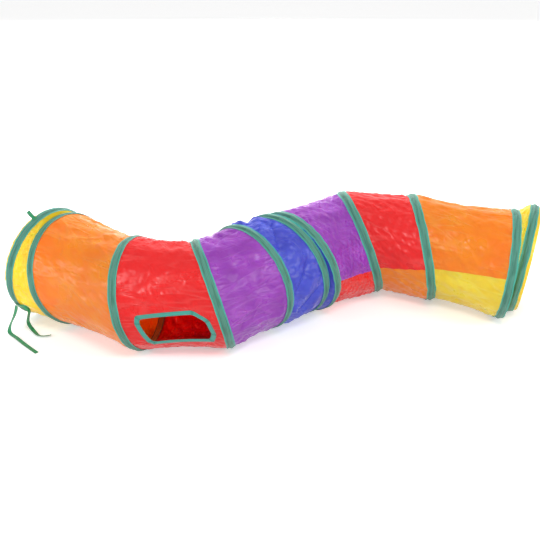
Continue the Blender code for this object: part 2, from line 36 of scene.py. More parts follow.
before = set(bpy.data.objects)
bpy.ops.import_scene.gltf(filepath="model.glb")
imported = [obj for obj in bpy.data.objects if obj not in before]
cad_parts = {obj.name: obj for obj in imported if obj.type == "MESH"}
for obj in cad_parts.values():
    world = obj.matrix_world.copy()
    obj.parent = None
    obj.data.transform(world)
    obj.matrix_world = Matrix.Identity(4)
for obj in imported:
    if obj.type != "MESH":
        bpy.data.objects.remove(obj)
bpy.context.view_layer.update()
hoopCount = 11
sharpAngle = 50         # degrees, from which the edge between two faces isn't smoothed
waveRadius = 0.121      # of the cloth, for waves that go round a hoop a whole number of times


# small helpers

def deselectAll():
    if bpy.context.mode != "OBJECT":
        bpy.ops.object.mode_set(mode="OBJECT")
    bpy.ops.object.select_all(action="DESELECT")


def makeActive(piece):
    deselectAll()
    piece.select_set(True)
    bpy.context.view_layer.objects.active = piece


def editWhole(piece, operator, **settings):
    # Runs an edit-mode operator on the whole mesh
    makeActive(piece)
    bpy.ops.object.mode_set(mode="EDIT")
    bpy.ops.mesh.select_all(action="SELECT")
    operator(**settings)
    bpy.ops.object.mode_set(mode="OBJECT")


def getPoints(piece):
    flat = np.zeros(len(piece.data.vertices) * 3, np.float32)
    piece.data.vertices.foreach_get("co", flat)
    return flat.reshape(-1, 3).astype(float)


def setPoints(piece, points):
    piece.data.vertices.foreach_set("co", np.asarray(points, np.float32).ravel())
    piece.data.update()


def getValues(piece, name):
    attribute = piece.data.attributes[name]
    values = np.zeros(len(attribute.data), np.float32)
    attribute.data.foreach_get("value", values)
    return values.astype(float)


def setValues(piece, name, values):
    attribute = piece.data.attributes.new(name, "FLOAT", "POINT")
    attribute.data.foreach_set("value", np.asarray(values, np.float32).ravel())


def gridPiece(name, points, uvs, closed):
    # A grid of rows and columns of points, wrapped into a tube where it is closed. UVs are in metres.
    rows, columns = points.shape[:2]
    across = columns if closed else columns - 1
    deselectAll()
    bpy.ops.mesh.primitive_grid_add(x_subdivisions=across, y_subdivisions=rows - 1, size=1)
    piece = bpy.context.object
    piece.name = name
    piece.data.name = name
    wrapped = np.concatenate([points, points[:, :1]], axis=1) if closed else points
    setPoints(piece, wrapped.reshape(-1, 3))
    order = np.zeros(len(piece.data.loops), np.int32)
    piece.data.loops.foreach_get("vertex_index", order)
    layer = piece.data.uv_layers[0]
    layer.data.foreach_set("uv", uvs.reshape(-1, 2)[order].astype(np.float32).ravel())
    if closed:
        editWhole(piece, bpy.ops.mesh.remove_doubles, threshold=0.00001)
    return piece


def gridUvs(lengths, across):
    # One length for each column and one place across for each row
    return np.stack(np.broadcast_arrays(np.asarray(lengths)[None], np.asarray(across)[:, None]), axis=-1)


def turnAway(piece, away):
    # The faces of an open sheet are turned over where the first one doesn't look this way
    if piece.data.polygons[0].normal.dot(Vector(away)) < 0:
        editWhole(piece, bpy.ops.mesh.flip_normals)


def thicken(piece, thickness, offset):
    wall = piece.modifiers.new("Wall", "SOLIDIFY")
    wall.thickness = thickness
    wall.offset = offset
    wall.use_even_offset = False
    makeActive(piece)
    bpy.ops.object.modifier_apply(modifier=wall.name)


def smooth(piece):
    makeActive(piece)
    bpy.ops.object.shade_smooth_by_angle(angle=math.radians(sharpAngle))


def finishPiece(piece, body, material, replaced=()):
    piece.data.materials.clear()
    piece.data.materials.append(material)
    if body:
        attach(piece, body)
    if replaced:
        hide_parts(*replaced)


def waves(angle, along, seed, count, length, slants):
    # Plane waves of random heading and phase, about -1 to 1, that meet themselves after one turn round the hoop
    rng = np.random.default_rng(seed)
    total = np.zeros_like(angle)
    for _ in range(count):
        size = rng.uniform(*length)
        slant = math.radians(rng.uniform(*slants)) * rng.choice((-1, 1))
        turns = max(1, round(2 * math.pi * waveRadius * math.cos(slant) / size))
        total += np.sin(turns * angle + 2 * math.pi * math.sin(slant) / size * along + rng.uniform(0, 6.28))
    return total / math.sqrt(count / 2) / 2


def facets(values):
    # Turns soft waves into flatter sides that meet in ridges
    return np.arcsin(np.clip(values, -0.97, 0.97)) / 1.3


def ease(values):
    values = np.clip(values, 0, 1)
    return values * values * (3 - 2 * values)


# hoops, read from the wires of the frame

def readHoop(number):
    # Its middle by least squares, because the wire is a little open, and the way along the tunnel
    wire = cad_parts["wire_%02d" % number]
    points = getPoints(wire)
    middle = points.mean(axis=0)
    normal = np.linalg.svd(points - middle)[2][2]
    if normal[0] < 0:
        normal = -normal
    up = np.array((0, 0, 1)) - normal * normal[2]
    up /= np.linalg.norm(up)
    side = np.cross(up, normal) * -1
    flat = np.stack([(points - middle) @ up, (points - middle) @ side], axis=1)
    fit = np.linalg.lstsq(np.c_[2 * flat, np.ones(len(flat))], (flat ** 2).sum(axis=1), rcond=None)[0]
    middle = middle + up * fit[0] + side * fit[1]
    return {"middle": middle, "normal": normal, "up": up, "side": side}


def spoke(hoop, angle):
    return np.cos(angle)[..., None] * hoop["up"] + np.sin(angle)[..., None] * hoop["side"]


def onHoop(hoop, angle, radius, along):
    out = spoke(hoop, angle) * np.asarray(radius)[..., None]
    return hoop["middle"] + out + hoop["normal"] * np.asarray(along)[..., None]


hoops = [readHoop(number) for number in range(hoopCount)]
print("hoops read")


# camera, at the photograph's height and distance

camera = {
    "aim": (-0.0181, 0.0, 0.1109),
    "distance": 2.687,
    "elevation": 29.74,
    "focal": 80.2,          # mm
    "sensor": 36,
}


def makeCamera():
    data = bpy.data.cameras.new("camera")
    data.lens = camera["focal"]
    data.sensor_width = camera["sensor"]
    data.sensor_fit = "HORIZONTAL"
    viewer = bpy.data.objects.new("camera", data)
    bpy.context.scene.collection.objects.link(viewer)
    rise = math.radians(camera["elevation"])
    back = Vector((0, -math.cos(rise), math.sin(rise)))
    viewer.location = Vector(camera["aim"]) + back * camera["distance"]
    viewer.rotation_euler = (-back).to_track_quat("-Z", "Y").to_euler()
    bpy.context.scene.camera = viewer


makeCamera()
print("camera placed")


# shader groups and materials

def feed(tree, socket, value):
    if isinstance(value, bpy.types.NodeSocket):
        tree.links.new(value, socket)
    else:
        socket.default_value = value


def addNode(tree, kind, inputs=None, **settings):
    made = tree.nodes.new(kind)
    for key, value in settings.items():
        setattr(made, key, value)
    for key, value in (inputs or {}).items():
        feed(tree, made.inputs[key], value)
    return made


def mathNode(tree, operation, *values):
    return addNode(tree, "ShaderNodeMath", dict(enumerate(values)), operation=operation).outputs[0]


def noiseNode(tree, inputs, **settings):
    return addNode(tree, "ShaderNodeTexNoise", inputs, **settings).outputs[0]


def remap(tree, value, low, high, newLow=0.0, newHigh=1.0):
    inputs = {"Value": value, "From Min": low, "From Max": high, "To Min": newLow, "To Max": newHigh}
    made = addNode(tree, "ShaderNodeMapRange", inputs, interpolation_type="SMOOTHSTEP")
    return made.outputs["Result"]


def mixColours(tree, share, first, second):
    made = addNode(tree, "ShaderNodeMix", data_type="RGBA")
    sockets = {socket.identifier: socket for socket in made.inputs}
    for key, value in (("Factor_Float", share), ("A_Color", first), ("B_Color", second)):
        feed(tree, sockets[key], value)
    return next(socket for socket in made.outputs if socket.identifier == "Result_Color")


def bumpNode(tree, height, strength, distance, under=None):
    inputs = {"Height": height, "Strength": strength, "Distance": distance}
    if under is not None:
        inputs["Normal"] = under
    return addNode(tree, "ShaderNodeBump", inputs).outputs[0]


def clothPlace(tree):
    # In metres, along and across the cloth
    return addNode(tree, "ShaderNodeUVMap", uv_map="UVMap").outputs[0]


def splitAxes(tree, place):
    return addNode(tree, "ShaderNodeSeparateXYZ", {0: place}).outputs


def newGroup(name, inputs, outputs):
    # An input without a value is a vector. All others, and the outputs, are numbers.
    group = bpy.data.node_groups.new(name, "ShaderNodeTree")
    for label, value in inputs.items():
        kind = "NodeSocketVector" if value is None else "NodeSocketFloat"
        made = group.interface.new_socket(label, in_out="INPUT", socket_type=kind)
        if value is not None:
            made.default_value = value
    for label in outputs:
        group.interface.new_socket(label, in_out="OUTPUT", socket_type="NodeSocketFloat")
    start = group.nodes.new("NodeGroupInput")
    end = group.nodes.new("NodeGroupOutput")
    return group, start.outputs, end.inputs


def buildWeaveGroup():
    # Two crossing sets of threads, on coordinates in metres
    group, start, end = newGroup("weave", {"Vector": None, "Thread": 0.0005}, ("Height",))
    parts = splitAxes(group, start["Vector"])
    rate = mathNode(group, "DIVIDE", 2 * math.pi, start["Thread"])
    warp = mathNode(group, "SINE", mathNode(group, "MULTIPLY", parts["X"], rate))
    weft = mathNode(group, "SINE", mathNode(group, "MULTIPLY", parts["Y"], rate))
    both = mathNode(group, "MULTIPLY", warp, weft)
    group.links.new(mathNode(group, "MULTIPLY_ADD", both, 0.5, 0.5), end["Height"])
    return group


crinkleLook = {
    "sets": ((0.6, 0.0), (-0.75, 17.0), (1.5, 31.0)),       # turn and seed of each set of creases
    "stretch": 0.22,        # how much slower the creases change along themselves
    "detail": 0.6,
    "lineWidth": 0.035,
    "lineRise": 0.35,
    "cloud": {"Scale": 0.55, "Detail": 3.0},
    "patch": {"Scale": 0.35, "Detail": 1.0},
    "patchSeed": 5.0,
    "patchEdge": (0.42, 0.6),
}


def buildCrinkleGroup():
    # Soft swells and thin, sharp crease lines that run aslant, as in creased nylon
    inputs = {"Vector": None, "Seed": 0.0, "Size": 0.03}
    group, start, end = newGroup("crinkle", inputs, ("Height", "Lines", "Cloud"))
    scaling = {0: start["Vector"], "Scale": mathNode(group, "DIVIDE", 1.0, start["Size"])}
    scaled = addNode(group, "ShaderNodeVectorMath", scaling, operation="SCALE").outputs[0]

    def cells(place, seed, settings):
        moved = mathNode(group, "ADD", start["Seed"], seed)
        return noiseNode(group, {"Vector": place, "W": moved, **settings}, noise_dimensions="4D")

    lines = None
    for turn, seed in crinkleLook["sets"]:
        turning = {"Vector": scaled, "Rotation": (0, 0, turn), "Scale": (1.0, crinkleLook["stretch"], 1.0)}
        turned = addNode(group, "ShaderNodeMapping", turning).outputs[0]
        made = cells(turned, seed, {"Scale": 1.0, "Detail": crinkleLook["detail"]})
        off = mathNode(group, "ABSOLUTE", mathNode(group, "SUBTRACT", made, 0.5))
        ridge = remap(group, off, crinkleLook["lineWidth"], 0.0)
        lines = ridge if lines is None else mathNode(group, "MAXIMUM", lines, ridge)
    cloud = cells(scaled, 0.0, crinkleLook["cloud"])
    patch = cells(scaled, crinkleLook["patchSeed"], crinkleLook["patch"])
    shown = mathNode(group, "MULTIPLY", lines, remap(group, patch, *crinkleLook["patchEdge"]))
    height = mathNode(group, "MULTIPLY_ADD", shown, crinkleLook["lineRise"], cloud)
    for label, value in (("Height", height), ("Lines", shown), ("Cloud", cloud)):
        group.links.new(value, end[label])
    return group


def buildStitchGroup():
    # A row of stitches along U at a distance V from the middle line
    inputs = {"U": 0.0, "V": 0.0, "Row": 0.0, "Stitch": 0.0032, "Width": 0.0004}
    group, start, end = newGroup("stitches", inputs, ("Mask",))
    off = mathNode(group, "ABSOLUTE", mathNode(group, "SUBTRACT", start["V"], start["Row"]))
    reach = {"Value": off, "From Min": start["Width"], "From Max": 0.0}
    across = addNode(group, "ShaderNodeMapRange", reach).outputs["Result"]
    place = mathNode(group, "FRACT", mathNode(group, "DIVIDE", start["U"], start["Stitch"]))
    along = remap(group, mathNode(group, "ABSOLUTE", mathNode(group, "SUBTRACT", place, 0.5)), 0.42, 0.34)
    group.links.new(mathNode(group, "MULTIPLY", across, along), end["Mask"])
    return group


groups = {"weave": buildWeaveGroup(), "crinkle": buildCrinkleGroup(), "stitches": buildStitchGroup()}


def useGroup(tree, name, inputs):
    return addNode(tree, "ShaderNodeGroup", inputs, node_tree=groups[name]).outputs


def newMaterial(name, roughness, metallic=0.0):
    material = bpy.data.materials.new(name)
    material.use_nodes = True
    tree = material.node_tree
    shader = tree.nodes["Principled BSDF"].inputs
    shader["Roughness"].default_value = roughness
    shader["Metallic"].default_value = metallic
    return material, tree, shader


def streaks(tree, metres, rates):
    # Noise drawn out along U, as threads are
    stretched = addNode(tree, "ShaderNodeMapping", {"Vector": metres, "Scale": rates}).outputs[0]
    return noiseNode(tree, {"Vector": stretched, "Scale": 1.0, "Detail": 2.0})


def linear(red, green, blue):
    # From the colour as the eye sees it, 0 to 255, to the shader's own scale
    return tuple((value / 255) ** 2.2 for value in (red, green, blue)) + (1.0,)


# Each nylon has its plain colour, a lighter lit one that is painted highlight along the crease lines, and a
# darker one that is painted shade in the hollows of the swells and is also the colour of its threads and stitches
nylonColours = {
    "yellow": {"main": (250, 214, 60), "lit": (255, 234, 120), "shadeAndThreads": (240, 200, 46)},
    "orange": {"main": (255, 136, 12), "lit": (255, 170, 78), "shadeAndThreads": (250, 122, 4)},
    "red": {"main": (244, 30, 30), "lit": (255, 96, 92), "shadeAndThreads": (230, 20, 22)},
    "purple": {"main": (154, 66, 182), "lit": (184, 112, 208), "shadeAndThreads": (140, 54, 168)},
    "blue": {"main": (74, 86, 202), "lit": (110, 128, 226), "shadeAndThreads": (62, 68, 184)},
}
nylon = {
    "roughness": 0.31,
    "smoother": 0.06,       # where the cloth lies flat
    "rougher": 0.08,
    "specular": 0.38,
    "through": 0.85,        # share of light that goes into the cloth and out of its other side
    "throughDepth": 0.0016,
    "throughTint": (1.0, 0.7, 0.6),
    "litCreases": 0.25,
    "threadDarkening": 0.12,
    "creaseSize": 0.034,
    "thread": 0.0005,
    "bump": 0.0022,
    "seedStep": 3.7,
    "hemSeed": 40.0,
    "hemStitch": 0.0145,
    # Painted shade of the band inside each hoop, and of its edges, as shares of the nylon's colour
    "bandShade": 0.6,
    "bandEdgeShade": 0.25,
    "bandThrough": 0.4,
    "bandHalf": (0.0056, 0.0062),
}


def letLightThrough(shader, weight):
    shader["Subsurface Weight"].default_value = weight
    shader["Subsurface Radius"].default_value = nylon["throughTint"]
    shader["Subsurface Scale"].default_value = nylon["throughDepth"]


def makeNylon(name, seed, stitched=False):
    look = {key: linear(*colour) for key, colour in nylonColours[name].items()}
    material, tree, shader = newMaterial(name + ("_hem" if stitched else "_nylon"), nylon["roughness"])
    metres = clothPlace(tree)
    crinkle = useGroup(tree, "crinkle", {"Vector": metres, "Seed": float(seed), "Size": nylon["creaseSize"]})
    weave = useGroup(tree, "weave", {"Vector": metres, "Thread": nylon["thread"]})["Height"]
    # Painted shade: darker where the swells of the bump are low
    colour = mixColours(tree, remap(tree, crinkle["Cloud"], 0.35, 0.65), look["shadeAndThreads"], look["main"])
    # Painted highlight along the raised crease lines
    lines = mathNode(tree, "MULTIPLY", crinkle["Lines"], nylon["litCreases"])
    colour = mixColours(tree, lines, colour, look["lit"])
    threads = mathNode(tree, "MULTIPLY", weave, nylon["threadDarkening"])
    colour = mixColours(tree, threads, colour, look["shadeAndThreads"])
    if stitched:
        parts = splitAxes(tree, metres)
        row = {"U": parts["X"], "V": parts["Y"], "Row": nylon["hemStitch"]}
        colour = mixColours(tree, useGroup(tree, "stitches", row)["Mask"], colour, look["shadeAndThreads"])
    tree.links.new(colour, shader["Base Color"])
    dull, glossy = nylon["roughness"] + nylon["rougher"], nylon["roughness"] - nylon["smoother"]
    tree.links.new(remap(tree, crinkle["Cloud"], 0.3, 0.7, dull, glossy), shader["Roughness"])
    soft = bumpNode(tree, crinkle["Height"], 1.0, nylon["bump"])
    tree.links.new(bumpNode(tree, weave, 0.25, 0.0001, soft), shader["Normal"])
    shader["Specular IOR Level"].default_value = nylon["specular"]
    letLightThrough(shader, nylon["through"])
    return material


def makeShadedBand(name):
    # Painted shade: where the tape lies behind the fabric less light comes through it, so the band is a darkened
    # copy of the nylon's colour, with darker painted shade along its edges. V runs out from its middle.
    material, tree, shader = newMaterial(name + "_band", 0.6)
    metres = clothPlace(tree)
    parts = splitAxes(tree, metres)
    tone = linear(*nylonColours[name]["main"])[:3]
    band = tuple(value * nylon["bandShade"] for value in tone) + (1.0,)
    edge = tuple(value * nylon["bandEdgeShade"] for value in tone) + (1.0,)
    lines = streaks(tree, metres, (14.0, 900.0, 1.0))
    colour = mixColours(tree, remap(tree, lines, 0.45, 0.7, 0.0, 0.5), band, edge)
    colour = mixColours(tree, remap(tree, parts["Y"], *nylon["bandHalf"]), colour, edge)
    tree.links.new(colour, shader["Base Color"])
    weave = useGroup(tree, "weave", {"Vector": metres, "Thread": nylon["thread"]})["Height"]
    height = mathNode(tree, "MULTIPLY_ADD", weave, 0.35, lines)
    tree.links.new(bumpNode(tree, height, 0.5, 0.0003), shader["Normal"])
    letLightThrough(shader, nylon["bandThrough"])
    return material


tapeLook = {
    "edge": (62, 172, 154),
    "window": (54, 162, 150),
    "middle": (74, 138, 120),
    "line": (44, 104, 88),
    "dark": (28, 92, 74),
    "stitch": (40, 118, 104),
    "halfWidth": 0.0099,
    "edgeWidth": 0.0025,
    "stitchRow": 0.0086,
    "windowRow": 0.0068,
    "thread": 0.0007,
    "threadRise": 0.35,
    "lineRise": 0.8,
    "stitchSink": -0.8,
    "bump": 0.00035,
    "sheen": 0.2,
}


def finishTape(tree, shader, metres, colour, lines, rows):
    # Weave, long threads and sunken stitches, which both tapes have
    tree.links.new(colour, shader["Base Color"])
    weave = useGroup(tree, "weave", {"Vector": metres, "Thread": tapeLook["thread"]})["Height"]
    raised = mathNode(tree, "MULTIPLY", lines, tapeLook["lineRise"])
    height = mathNode(tree, "MULTIPLY_ADD", weave, tapeLook["threadRise"], raised)
    height = mathNode(tree, "MULTIPLY_ADD", rows, tapeLook["stitchSink"], height)
    tree.links.new(bumpNode(tree, height, 0.7, tapeLook["bump"]), shader["Normal"])
    shader["Sheen Weight"].default_value = tapeLook["sheen"]


def makeTapeMaterial():
    # Folded edges are lighter than the single layer between them. U runs along the tape, V across it from 0.
    material, tree, shader = newMaterial("woven_tape", 0.62)
    metres = clothPlace(tree)
    parts = splitAxes(tree, metres)
    off = mathNode(tree, "ABSOLUTE", mathNode(tree, "SUBTRACT", parts["Y"], tapeLook["halfWidth"]))
    inner = tapeLook["halfWidth"] - tapeLook["edgeWidth"]
    edge = remap(tree, off, inner - 0.0004, inner + 0.0002)
    lines = streaks(tree, metres, (12.0, 900.0, 1.0))
    lineMask = remap(tree, lines, 0.5, 0.68)
    colour = mixColours(tree, lineMask, linear(*tapeLook["middle"]), linear(*tapeLook["line"]))
    patches = remap(tree, streaks(tree, metres, (16.0, 130.0, 1.0)), 0.45, 0.65, 0.0, 0.6)
    colour = mixColours(tree, patches, colour, linear(*tapeLook["dark"]))
    colour = mixColours(tree, edge, colour, linear(*tapeLook["edge"]))
    rows = None
    for side in (-1, 1):
        row = tapeLook["halfWidth"] + side * tapeLook["stitchRow"]
        made = useGroup(tree, "stitches", {"U": parts["X"], "V": parts["Y"], "Row": row})["Mask"]
        rows = made if rows is None else mathNode(tree, "MAXIMUM", rows, made)
    colour = mixColours(tree, mathNode(tree, "MULTIPLY", rows, 0.7), colour, linear(*tapeLook["stitch"]))
    finishTape(tree, shader, metres, colour, lines, rows)
    return material


def makeWindowTapeMaterial():
    # The same tape folded in half over an edge, so that all of it is lighter, with one row of stitches
    material, tree, shader = newMaterial("folded_tape", 0.6)
    metres = clothPlace(tree)
    parts = splitAxes(tree, metres)
    lines = streaks(tree, metres, (14.0, 900.0, 1.0))
    lineMask = remap(tree, lines, 0.4, 0.68)
    colour = mixColours(tree, lineMask, linear(*tapeLook["window"]), linear(*tapeLook["middle"]))
    tuckShade = addNode(tree, "ShaderNodeAttribute", attribute_name="tuckShade").outputs["Fac"]
    # Painted shade along the fold at each corner
    colour = mixColours(tree, mathNode(tree, "MULTIPLY", tuckShade, 0.8), colour, linear(*tapeLook["dark"]))
    row = {"U": parts["X"], "V": mathNode(tree, "ABSOLUTE", parts["Y"]), "Row": tapeLook["windowRow"]}
    rows = useGroup(tree, "stitches", row)["Mask"]
    colour = mixColours(tree, mathNode(tree, "MULTIPLY", rows, 0.8), colour, linear(*tapeLook["stitch"]))
    finishTape(tree, shader, metres, colour, lines, rows)
    return material


ribbonLook = {
    "shade": (12, 118, 74),
    "shine": (34, 158, 100),
    "selvedge": (8, 86, 54),
    "half": 0.0045,
    "selvedgeFrom": (0.0036, 0.0042),
    "rib": 0.0006,
}


def makeRibbonMaterial():
    # Satin ribbon with ribs across it, darker along its woven edges
    material, tree, shader = newMaterial("satin_ribbon", 0.38)
    metres = clothPlace(tree)
    parts = splitAxes(tree, metres)
    lines = streaks(tree, metres, (90.0, 900.0, 1.0))
    shine = remap(tree, lines, 0.35, 0.65)
    colour = mixColours(tree, shine, linear(*ribbonLook["shade"]), linear(*ribbonLook["shine"]))
    off = mathNode(tree, "ABSOLUTE", mathNode(tree, "SUBTRACT", parts["Y"], ribbonLook["half"]))
    selvedge = remap(tree, off, *ribbonLook["selvedgeFrom"], 0.0, 0.6)
    colour = mixColours(tree, selvedge, colour, linear(*ribbonLook["selvedge"]))
    tree.links.new(colour, shader["Base Color"])
    ribs = mathNode(tree, "SINE", mathNode(tree, "MULTIPLY", parts["X"], 2 * math.pi / ribbonLook["rib"]))
    height = mathNode(tree, "MULTIPLY_ADD", ribs, 0.3, lines)
    tree.links.new(bumpNode(tree, height, 0.5, 0.0002), shader["Normal"])
    shader["Sheen Weight"].default_value = 0.25
    return material


def makeSteelMaterial():
    # Drawn wire with fine marks along it
    material, tree, shader = newMaterial("drawn_steel", 0.3, 1.0)
    place = addNode(tree, "ShaderNodeTexCoord").outputs["Object"]
    marks = noiseNode(tree, {"Vector": place, "Scale": 900.0, "Detail": 3.0})
    tree.links.new(mixColours(tree, marks, linear(176, 176, 172), linear(208, 208, 204)), shader["Base Color"])
    tree.links.new(remap(tree, marks, 0.3, 0.7, 0.24, 0.4), shader["Roughness"])
    return material


paints = {}
for number, name in enumerate(nylonColours):
    paints[name] = makeNylon(name, number * nylon["seedStep"])
    paints["band_" + name] = makeShadedBand(name)
paints["hem"] = makeNylon("yellow", nylon["hemSeed"], True)
paints["tape"] = makeTapeMaterial()
paints["windowTape"] = makeWindowTapeMaterial()
paints["ribbon"] = makeRibbonMaterial()
paints["steel"] = makeSteelMaterial()
print("materials made")


# ribbon ties, which lie where the frame's do

ties = {
    "width": 0.009,
    "thickness": 0.0005,
    "cup": 0.0004,
    "steps": 6,             # from one point of a route to the next
    "across": 6,            # faces across the ribbon
    "lowest": 0.0002,
    # Each point's place, from the floor below the end hoop's middle, and the way of the ribbon's width
    "long": (
        ((-0.0656, -0.0843, 0.0561), (0.81, -0.59, 0.0)),
        ((-0.0670, -0.0862, 0.0475), (0.81, -0.59, 0.0)),
        ((-0.0695, -0.0895, 0.0390), (0.75, -0.65, 0.1)),
        ((-0.0730, -0.0930, 0.0310), (0.62, -0.75, 0.2)),
        ((-0.0790, -0.0990, 0.0185), (0.55, -0.80, 0.2)),
        ((-0.0815, -0.1070, 0.0100), (0.80, -0.50, 0.1)),
        ((-0.0800, -0.1140, 0.0055), (0.95, 0.10, 0.0)),
        ((-0.0730, -0.1230, 0.0045), (0.75, 0.66, 0.0)),
        ((-0.0610, -0.1340, 0.0035), (0.70, 0.71, 0.0)),
        ((-0.0440, -0.1520, 0.0020), (0.70, 0.71, 0.0)),
        ((-0.0260, -0.1710, 0.0015), (0.70, 0.71, 0.0)),
        ((-0.0080, -0.1890, 0.0010), (0.70, 0.71, 0.0)),
    ),
    "short": (
        ((-0.0614, -0.0895, 0.0592), (0.26, 0.43, -0.87)),
        ((-0.0550, -0.0960, 0.0625), (0.20, 0.35, -0.90)),
        ((-0.0473, -0.0990, 0.0635), (0.00, -0.05, -1.00)),
        ((-0.0415, -0.1012, 0.0610), (-0.30, -0.50, -0.80)),
        ((-0.0370, -0.1022, 0.0580), (-0.55, -0.75, -0.25)),
        ((-0.0345, -0.1020, 0.0525), (-0.58, -0.80, 0.0)),
        ((-0.0365, -0.1005, 0.0425), (-0.60, -0.80, 0.0)),
        ((-0.0393, -0.0985, 0.0320), (-0.60, -0.80, 0.0)),
        ((-0.0404, -0.0985, 0.0225), (-0.62, -0.78, 0.0)),
        ((-0.0370, -0.0990, 0.0115), (-0.75, -0.65, 0.0)),
        ((-0.0290, -0.1050, 0.0045), (-0.82, -0.57, 0.0)),
        ((-0.0170, -0.1215, 0.0040), (-0.60, -0.70, 0.3)),
        ((-0.0060, -0.1266, 0.0045), (-0.15, -0.92, 0.35)),
        ((0.0050, -0.1240, 0.0040), (0.15, -0.92, 0.35)),
        ((0.0121, -0.1210, 0.0040), (0.20, -0.90, 0.4)),
    ),
}


def smoothRoute(route, steps):
    # A smooth curve through the route's points, its width turning smoothly too
    rows = [(Vector(place), Vector(width).normalized()) for place, width in route]
    rows = [rows[0]] + rows + [rows[-1]]
    made = []
    for a, b, c, d in zip(rows, rows[1:], rows[2:], rows[3:]):
        for step in range(steps):
            t = step / steps
            row = []
            for k in (0, 1):
                bend = 2 * a[k] - 5 * b[k] + 4 * c[k] - d[k]
                turn = 3 * b[k] - a[k] - 3 * c[k] + d[k]
                row.append(b[k] + (c[k] - a[k]) * t / 2 + bend * t * t / 2 + turn * t ** 3 / 2)
            made.append(row)
    made.append(rows[-1])
    return made


def ribbonPiece(name, middles, widths, cup, thickness):
    # A ribbon along a line, with its own width direction at each point and slightly hollow across
    across = ties["across"]
    lengths = [0.0]
    for first, second in zip(middles, middles[1:]):
        lengths.append(lengths[-1] + (second - first).length)
    points = np.zeros((len(middles), across + 1, 3))
    uvs = np.zeros((len(middles), across + 1, 2))
    for k, middle in enumerate(middles):
        along = (middles[min(k + 1, len(middles) - 1)] - middles[max(k - 1, 0)]).normalized()
        width = (widths[k] - along * widths[k].dot(along)).normalized()
        face = along.cross(width)
        for j in range(across + 1):
            t = j / across * 2 - 1
            points[k, j] = middle + width * (t * ties["width"] / 2) + face * (cup * (t * t - 0.5))
            uvs[k, j] = (lengths[k], (t + 1) * ties["width"] / 2)
    piece = gridPiece(name, points, uvs, False)
    thicken(piece, thickness, 0)
    smooth(piece)
    return piece, lengths[-1]


def makeTie(label, route):
    base = Vector((hoops[0]["middle"][0], hoops[0]["middle"][1], 0))
    rows = smoothRoute(route, ties["steps"])
    middles = [base + place for place, width in rows]
    widths = [width for place, width in rows]
    piece, length = ribbonPiece("ribbon_" + label, middles, widths, ties["cup"], ties["thickness"])
    points = getPoints(piece)
    points[:, 2] = np.maximum(points[:, 2], ties["lowest"])
    setPoints(piece, points)
    finishPiece(piece, "hoop_00", paints["ribbon"], ("tie_" + label,))


makeTie("long", ties["long"])
makeTie("short", ties["short"])
print("ties laid")


# lengths of fabric between the hoops

fabric = {
    "radius": 0.1207,       # outer face where a tape holds it
    "thickness": 0.0005,
    "cell": 0.0022,         # width of a mesh face
    "columns": 350,
    "underTape": 0.004,     # how far from the hoop's middle it starts
    "clear": 0.0095,        # where it comes out from under the tape
    "waist": 0.03,          # how far it draws in, as a share of its length
    "taut": {6: 0.012, 7: 0.008},
    "foldedSection": 4,
    "foldDepth": 0.0065,
    "foldCount": 8,
    "foldSlant": 1.1,
    "fullLength": 0.21,
    "seamLift": 0.0007,
    "seamWidth": 0.005,
    "seamBack": 215.0,
    "seamFront": {6: 94.0, 7: 94.0, 8: 86.0, 9: 78.0},
    "seamSpare": 1.04,      # cloth that the long seams take up
    "lowest": 0.0008,
}
# Each length's colour, and the colour below the long seam where it has one
sectionColours = (
    ("yellow", None),
    ("orange", None),
    ("red", None),
    ("purple", None),
    ("blue", None),
    ("blue", None),
    ("purple", "red"),
    ("red", "orange"),
    ("orange", "yellow"),
    ("yellow", None),
)

window = {
    "section": 2,
    "length": 0.142,
    "height": 0.076,
    "along": 0.535,
    "round": 101.0,
    "turn": -8.0,
    "edgeOverlap": 0.002,   # how far the fabric is cut back under the tape
    "corners": ((0.011, 0.021), (0.004, 0.008), (0.005, 0.011), (0.021, 0.020)),
}


def sheetName(number, colour):
    return "fabric_%02d_%s" % (number, colour)


def clothFace(number, share, angle):
    # Outer face of the fabric between two tapes, the way out from it, and its length along the tunnel
    first, second = hoops[number], hoops[number + 1]
    radius = np.full(np.shape(angle), fabric["radius"])
    clear = np.full(np.shape(angle), fabric["clear"])
    start = onHoop(first, angle, radius, clear)
    end = onHoop(second, angle, radius, -clear)
    t = np.asarray(share)[..., None]
    outward = spoke(first, angle) * (1 - t) + spoke(second, angle) * t
    outward /= np.linalg.norm(outward, axis=-1, keepdims=True)
    span = np.linalg.norm(end - start, axis=-1)
    swell = np.sin(math.pi * np.asarray(share))
    depth = fabric["taut"].get(number, fabric["waist"]) * span * swell
    if number == fabric["foldedSection"]:
        # Round folds with sharp valleys that run aslant, and smaller ones across them
        turned = fabric["foldSlant"] * 2 * math.pi * np.asarray(share)
        swing = 0.5 * np.sin(3 * angle + 1.3)
        fold = 2 * np.abs(np.sin(fabric["foldCount"] / 2 * angle + turned / 2 + swing)) ** 0.7 - 1
        small = np.abs(np.sin(fabric["foldCount"] * angle - 0.6 * turned + 2 * np.sin(2 * angle))) ** 0.8
        depth = depth - fabric["foldDepth"] * swell * (fold + 0.35 * small - 0.1)
    return start * (1 - t) + end * t - outward * depth[..., None], outward, span


def windowAxes():
    # The angle of the window's middle, its turn on the cloth and the cloth's length there
    middle = math.radians(window["round"])
    span = float(clothFace(window["section"], 0.5, np.array(middle))[2])
    return middle, math.radians(window["turn"]), span


def windowPlace(share, angle):
    # Where a point of the fabric is, along the window and round it, in metres
    middle, turn, span = windowAxes()
    along = (share - window["along"]) * span
    around = (angle - middle) * fabric["radius"]
    return along * math.cos(turn) + around * math.sin(turn), around * math.cos(turn) - along * math.sin(turn)


